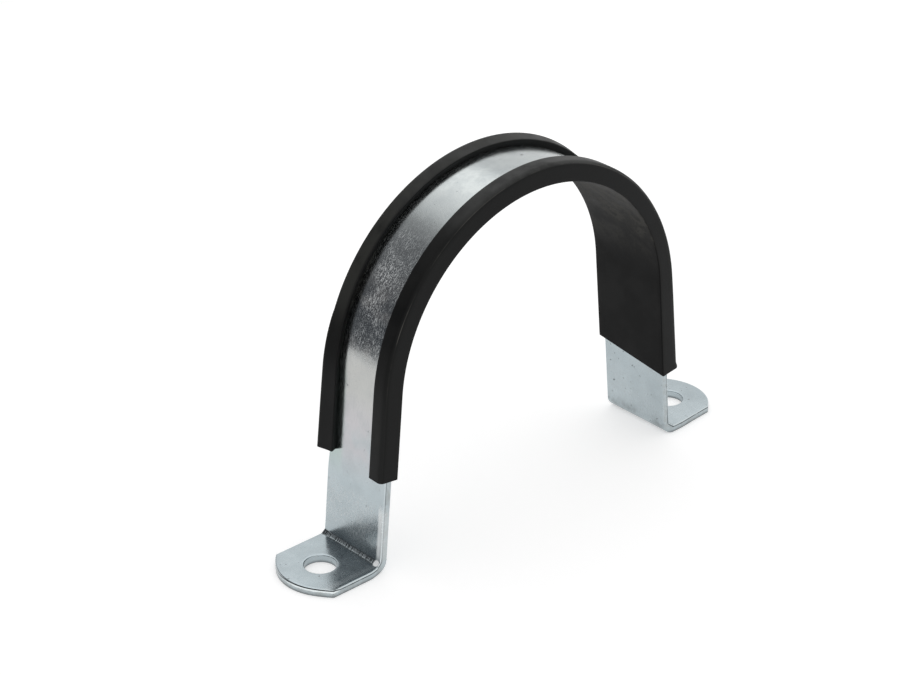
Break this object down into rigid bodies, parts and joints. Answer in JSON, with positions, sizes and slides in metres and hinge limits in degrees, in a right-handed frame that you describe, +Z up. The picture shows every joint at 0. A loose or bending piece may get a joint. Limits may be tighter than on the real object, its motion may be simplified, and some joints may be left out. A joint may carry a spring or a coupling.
{
  "type": "rubber lined pipe clamp",
  "caption": "Saddle clamp for a pipe: a folded zinc plated steel band, lined with a rubber channel, with a bolt hole in each foot.",
  "frame": {"origin": "on the plane the feet stand on, midway between the bolt holes and at the middle of the band's width", "axes": "+X from foot to foot, +Y along the pipe, +Z up through the arch"},
  "size_m": [0.1364, 0.0226, 0.0892],
  "materials": {
    "zinc_plate": "bright zinc plating on rolled steel strip, lightly grained",
    "black_rubber": "matte extruded rubber"
  },
  "bodies": {
    "root": {"strap": "zinc_plate", "liner": "black_rubber"}
  },
  "joints": []
}
